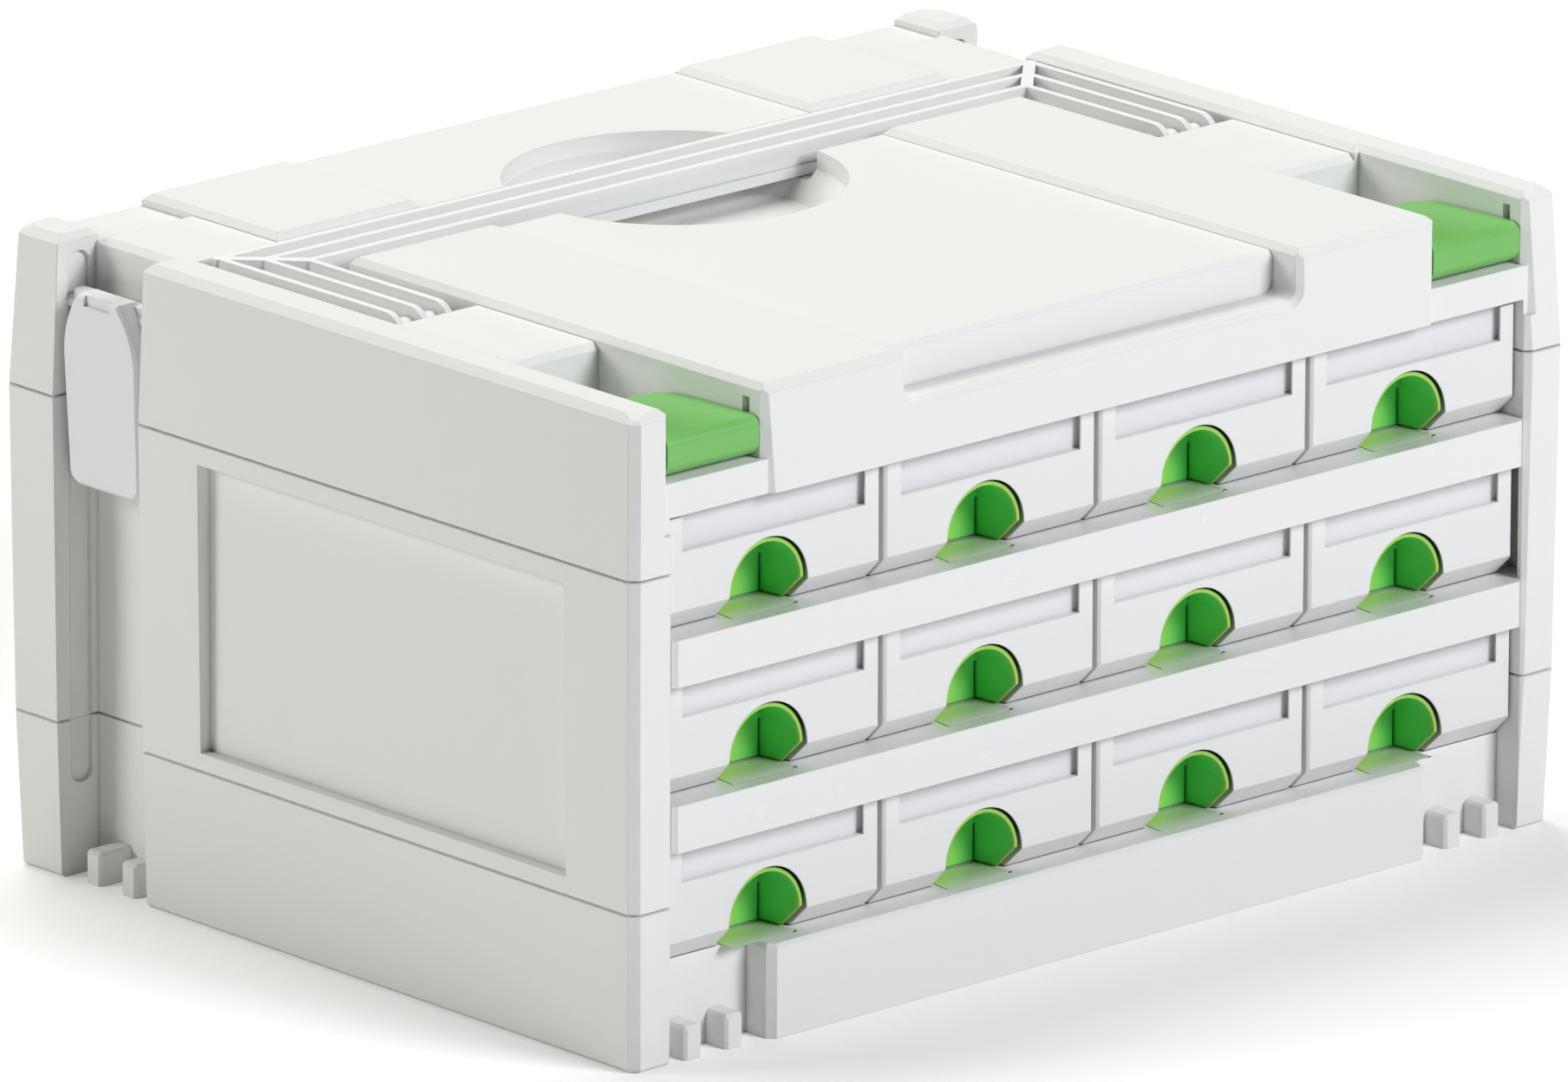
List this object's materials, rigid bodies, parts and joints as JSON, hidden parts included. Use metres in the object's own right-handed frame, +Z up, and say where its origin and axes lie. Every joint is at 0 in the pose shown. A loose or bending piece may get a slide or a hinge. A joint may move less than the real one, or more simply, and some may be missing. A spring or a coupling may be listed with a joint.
{
  "type": "drawer organizer case",
  "caption": "Stacking plastic case with rows of small sliding drawers, green finger cups, blank label slots, a ribbed carry handle in the top and swinging latches for stacking.",
  "frame": {"origin": "middle of the flat bottom face", "axes": "+X to the right along the drawer front, -Y out of the drawer front, +Z up"},
  "size_m": [0.396, 0.296, 0.21],
  "materials": {
    "shell": "fine matte grain",
    "drawer": "fine matte grain",
    "side_latch": "satin",
    "latch_green": "satin",
    "pull_green": "satin",
    "card": "plain paper card"
  },
  "bodies": {
    "case": {"base_shell": "shell", "middle_frame": "shell", "top_cover": "shell", "floor_shelf": "shell", "lower_shelf": "shell", "upper_shelf": "shell"},
    "drawer_r1_c1_body": {"drawer_r1_c1": "drawer", "pull_r1_c1": "pull_green", "label_r1_c1": "card"},
    "drawer_r1_c2_body": {"drawer_r1_c2": "drawer", "pull_r1_c2": "pull_green", "label_r1_c2": "card"},
    "drawer_r1_c3_body": {"drawer_r1_c3": "drawer", "pull_r1_c3": "pull_green", "label_r1_c3": "card"},
    "drawer_r1_c4_body": {"drawer_r1_c4": "drawer", "pull_r1_c4": "pull_green", "label_r1_c4": "card"},
    "drawer_r2_c1_body": {"drawer_r2_c1": "drawer", "pull_r2_c1": "pull_green", "label_r2_c1": "card"},
    "drawer_r2_c2_body": {"drawer_r2_c2": "drawer", "pull_r2_c2": "pull_green", "label_r2_c2": "card"},
    "drawer_r2_c3_body": {"drawer_r2_c3": "drawer", "pull_r2_c3": "pull_green", "label_r2_c3": "card"},
    "drawer_r2_c4_body": {"drawer_r2_c4": "drawer", "pull_r2_c4": "pull_green", "label_r2_c4": "card"},
    "drawer_r3_c1_body": {"drawer_r3_c1": "drawer", "pull_r3_c1": "pull_green", "label_r3_c1": "card"},
    "drawer_r3_c2_body": {"drawer_r3_c2": "drawer", "pull_r3_c2": "pull_green", "label_r3_c2": "card"},
    "drawer_r3_c3_body": {"drawer_r3_c3": "drawer", "pull_r3_c3": "pull_green", "label_r3_c3": "card"},
    "drawer_r3_c4_body": {"drawer_r3_c4": "drawer", "pull_r3_c4": "pull_green", "label_r3_c4": "card"},
    "handle_body": {"carry_handle": "shell"},
    "front_latch_left_body": {"front_latch_left": "latch_green"},
    "front_latch_right_body": {"front_latch_right": "latch_green"},
    "side_latch_left_body": {"side_latch_left": "side_latch"},
    "side_latch_right_body": {"side_latch_right": "side_latch"}
  },
  "joints": [
    {"name": "drawer_r1_c1_slide", "type": "slide", "parent": "case", "child": "drawer_r1_c1_body", "axis": [0, -1, 0], "range_m": [0, 0.2]},
    {"name": "drawer_r1_c2_slide", "type": "slide", "parent": "case", "child": "drawer_r1_c2_body", "axis": [0, -1, 0], "range_m": [0, 0.2]},
    {"name": "drawer_r1_c3_slide", "type": "slide", "parent": "case", "child": "drawer_r1_c3_body", "axis": [0, -1, 0], "range_m": [0, 0.2]},
    {"name": "drawer_r1_c4_slide", "type": "slide", "parent": "case", "child": "drawer_r1_c4_body", "axis": [0, -1, 0], "range_m": [0, 0.2]},
    {"name": "drawer_r2_c1_slide", "type": "slide", "parent": "case", "child": "drawer_r2_c1_body", "axis": [0, -1, 0], "range_m": [0, 0.2]},
    {"name": "drawer_r2_c2_slide", "type": "slide", "parent": "case", "child": "drawer_r2_c2_body", "axis": [0, -1, 0], "range_m": [0, 0.2]},
    {"name": "drawer_r2_c3_slide", "type": "slide", "parent": "case", "child": "drawer_r2_c3_body", "axis": [0, -1, 0], "range_m": [0, 0.2]},
    {"name": "drawer_r2_c4_slide", "type": "slide", "parent": "case", "child": "drawer_r2_c4_body", "axis": [0, -1, 0], "range_m": [0, 0.2]},
    {"name": "drawer_r3_c1_slide", "type": "slide", "parent": "case", "child": "drawer_r3_c1_body", "axis": [0, -1, 0], "range_m": [0, 0.2]},
    {"name": "drawer_r3_c2_slide", "type": "slide", "parent": "case", "child": "drawer_r3_c2_body", "axis": [0, -1, 0], "range_m": [0, 0.2]},
    {"name": "drawer_r3_c3_slide", "type": "slide", "parent": "case", "child": "drawer_r3_c3_body", "axis": [0, -1, 0], "range_m": [0, 0.2]},
    {"name": "drawer_r3_c4_slide", "type": "slide", "parent": "case", "child": "drawer_r3_c4_body", "axis": [0, -1, 0], "range_m": [0, 0.2]},
    {"name": "handle_swing", "type": "hinge", "parent": "case", "child": "handle_body", "pos_m": [0, -0.0055, 0.2015], "axis": [1, 0, 0], "range_deg": [0, 90]},
    {"name": "front_latch_left_swing", "type": "hinge", "parent": "case", "child": "front_latch_left_body", "pos_m": [-0.16175, -0.1375, 0.1939], "axis": [1, 0, 0], "range_deg": [0, 100]},
    {"name": "front_latch_right_swing", "type": "hinge", "parent": "case", "child": "front_latch_right_body", "pos_m": [0.16175, -0.1375, 0.1939], "axis": [1, 0, 0], "range_deg": [0, 100]},
    {"name": "side_latch_left_swing", "type": "hinge", "parent": "case", "child": "side_latch_left_body", "pos_m": [-0.19, 0.1035, 0.1885], "axis": [0, 1, 0], "range_deg": [0, 175]},
    {"name": "side_latch_right_swing", "type": "hinge", "parent": "case", "child": "side_latch_right_body", "pos_m": [0.19, 0.1035, 0.1885], "axis": [0, -1, 0], "range_deg": [0, 175]}
  ]
}
